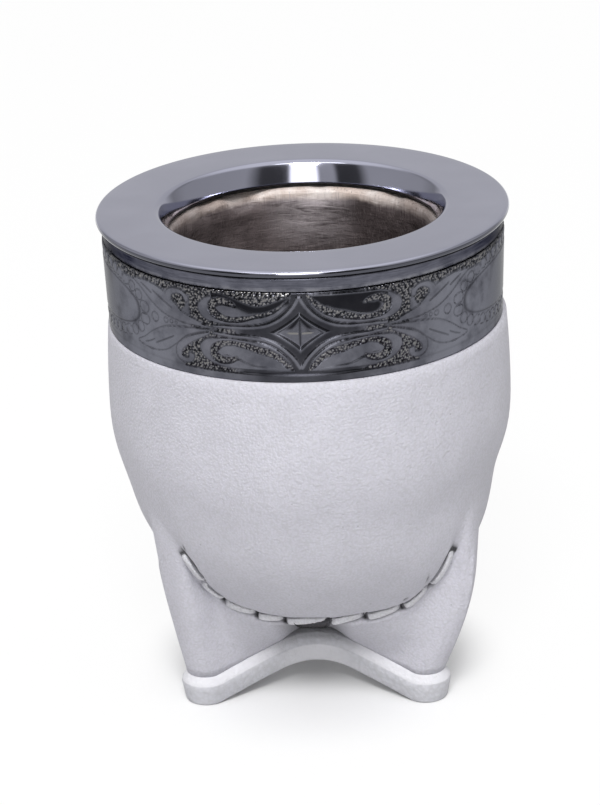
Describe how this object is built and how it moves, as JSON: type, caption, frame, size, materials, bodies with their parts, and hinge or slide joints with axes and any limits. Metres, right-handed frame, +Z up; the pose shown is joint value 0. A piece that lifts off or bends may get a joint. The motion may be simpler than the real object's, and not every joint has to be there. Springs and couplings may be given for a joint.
{
  "type": "mate cup",
  "caption": "Mate gourd in a white laced leather cover with legs and an arched sole, with a flat polished mouth ring and a chased dark steel band",
  "frame": {"origin": "on the floor under the middle of the cup, at the middle of its box", "axes": "+Z up along the axis of the cup, -Y towards the front bay between two legs, +Y through the third leg"},
  "size_m": [0.085, 0.085, 0.1065],
  "materials": {
    "gourd": "scraped calabash wall with fine vertical streaks and a pale cut edge",
    "resin": "dark setting compound",
    "polished_steel": "polished, with fine turning lines on the flat",
    "satin_steel": "satin, brushed round the ring",
    "chased_steel": "chased relief with a darkened stippled ground",
    "white_leather": "matt, fine grain",
    "lace_leather": "matt, flat cut strip",
    "sole_leather": "matt, painted edge"
  },
  "bodies": {
    "root": {"gourd_cup": "gourd", "resin_bed": "resin", "mouth_ring": "polished_steel", "collar_ring": "satin_steel", "chased_band": "chased_steel", "leather_cover": "white_leather", "lace_front": "lace_leather", "lace_right": "lace_leather", "lace_left": "lace_leather", "sole": "sole_leather"}
  },
  "joints": []
}
